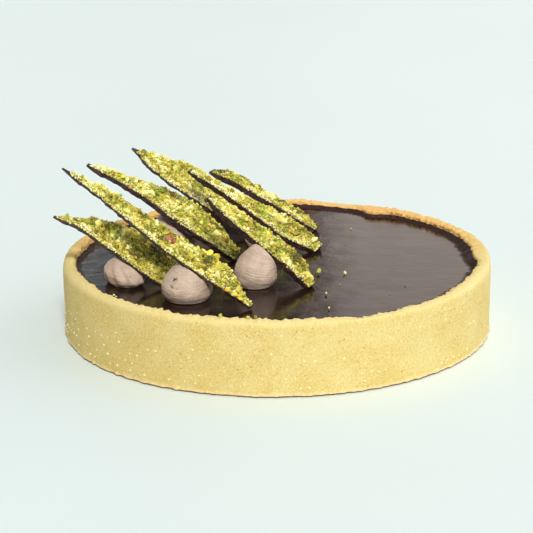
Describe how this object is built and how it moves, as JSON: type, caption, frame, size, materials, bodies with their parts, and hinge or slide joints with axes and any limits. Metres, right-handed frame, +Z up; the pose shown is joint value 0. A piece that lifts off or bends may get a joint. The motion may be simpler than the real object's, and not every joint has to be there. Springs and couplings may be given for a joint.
{
  "type": "chocolate tart",
  "caption": "Round shortcrust tart filled with glossy ganache, topped with mousse dollops and leaning pistachio chocolate shards.",
  "frame": {"origin": "centre of the flat underside, on the surface the tart stands on", "axes": "+Z up; the shards' raised tips point towards -X and a little towards +Y; -Y is the side the tart is shown from"},
  "size_m": [0.2017, 0.2, 0.0834],
  "materials": {
    "shortcrust": "pale golden baked shortcrust, fine crumb, matte",
    "ganache": "very dark chocolate ganache, poured and glossy",
    "mousse": "whipped milk chocolate mousse, soft satin",
    "pistachio_chocolate": "thin dark chocolate under yellow-green chopped pistachio"
  },
  "bodies": {
    "root": {"crust_case": "shortcrust", "ganache_filling": "ganache", "mousse_dollop_1": "mousse", "mousse_dollop_2": "mousse", "mousse_dollop_3": "mousse", "mousse_dollop_4": "mousse", "mousse_dollop_5": "mousse", "mousse_dollop_6": "mousse", "mousse_dollop_7": "mousse", "pistachio_shard_1": "pistachio_chocolate", "pistachio_shard_2": "pistachio_chocolate", "pistachio_shard_3": "pistachio_chocolate", "pistachio_shard_4": "pistachio_chocolate", "pistachio_shard_5": "pistachio_chocolate", "pistachio_shard_6": "pistachio_chocolate", "pistachio_shard_7": "pistachio_chocolate"}
  },
  "joints": []
}
